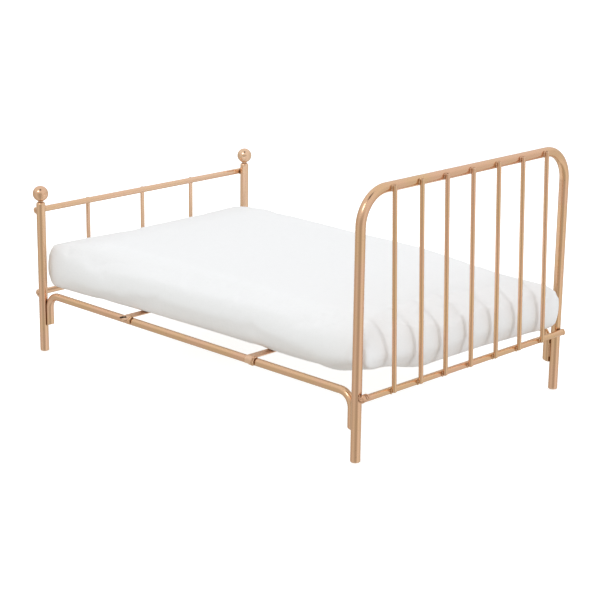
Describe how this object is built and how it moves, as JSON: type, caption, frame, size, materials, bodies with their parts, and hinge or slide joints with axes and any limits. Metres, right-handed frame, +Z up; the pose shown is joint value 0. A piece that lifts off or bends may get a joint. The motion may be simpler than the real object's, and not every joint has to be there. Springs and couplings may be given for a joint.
{
  "type": "miniature metal bed",
  "caption": "Miniature welded metal bed with an arched spindle headboard, a low footboard with ball finials, side rails, flat slats and a loose mattress that lifts off",
  "frame": {"origin": "on the floor under the middle of the bed", "axes": "+X along the bed to the headboard, +Y to the left of a sleeper lying face up, +Z up"},
  "size_m": [0.3066, 0.1984, 0.161],
  "materials": {
    "plated_rod": "satin rose-gold plate on round steel rod",
    "plated_strip": "satin rose-gold plate on flat steel strip",
    "polished_finial": "polished rose-gold plate",
    "weld_metal": "uneven plated weld beads with dark edges",
    "cotton_cover": "white plain-weave cotton",
    "foam_core": "soft foam"
  },
  "bodies": {
    "frame": {"ball_finial_left": "polished_finial", "ball_finial_right": "polished_finial", "footboard_lower_bar": "plated_rod", "footboard_post_left": "plated_rod", "footboard_post_right": "plated_rod", "footboard_spindle_1": "plated_rod", "footboard_spindle_2": "plated_rod", "footboard_spindle_3": "plated_rod", "footboard_top_rail": "plated_rod", "headboard_crossbar": "plated_rod", "headboard_hoop": "plated_rod", "headboard_spindle_1": "plated_rod", "headboard_spindle_2": "plated_rod", "headboard_spindle_3": "plated_rod", "headboard_spindle_4": "plated_rod", "headboard_spindle_5": "plated_rod", "headboard_spindle_6": "plated_rod", "headboard_spindle_7": "plated_rod", "side_rail_left": "plated_rod", "side_rail_right": "plated_rod", "slat_foot_end": "plated_strip", "slat_head_end": "plated_strip", "welds_foot_lower_bar": "weld_metal", "welds_foot_top_rail": "weld_metal", "welds_head_crossbar": "weld_metal", "welds_hoop_top": "weld_metal", "welds_side_rails": "weld_metal", "welds_slats": "weld_metal"},
    "mattress": {"mattress_cover": "cotton_cover", "mattress_core": "foam_core"}
  },
  "joints": [
    {"name": "mattress_lift", "type": "slide", "parent": "frame", "child": "mattress", "axis": [0, 0, 1], "range_m": [0, 0.065]}
  ]
}
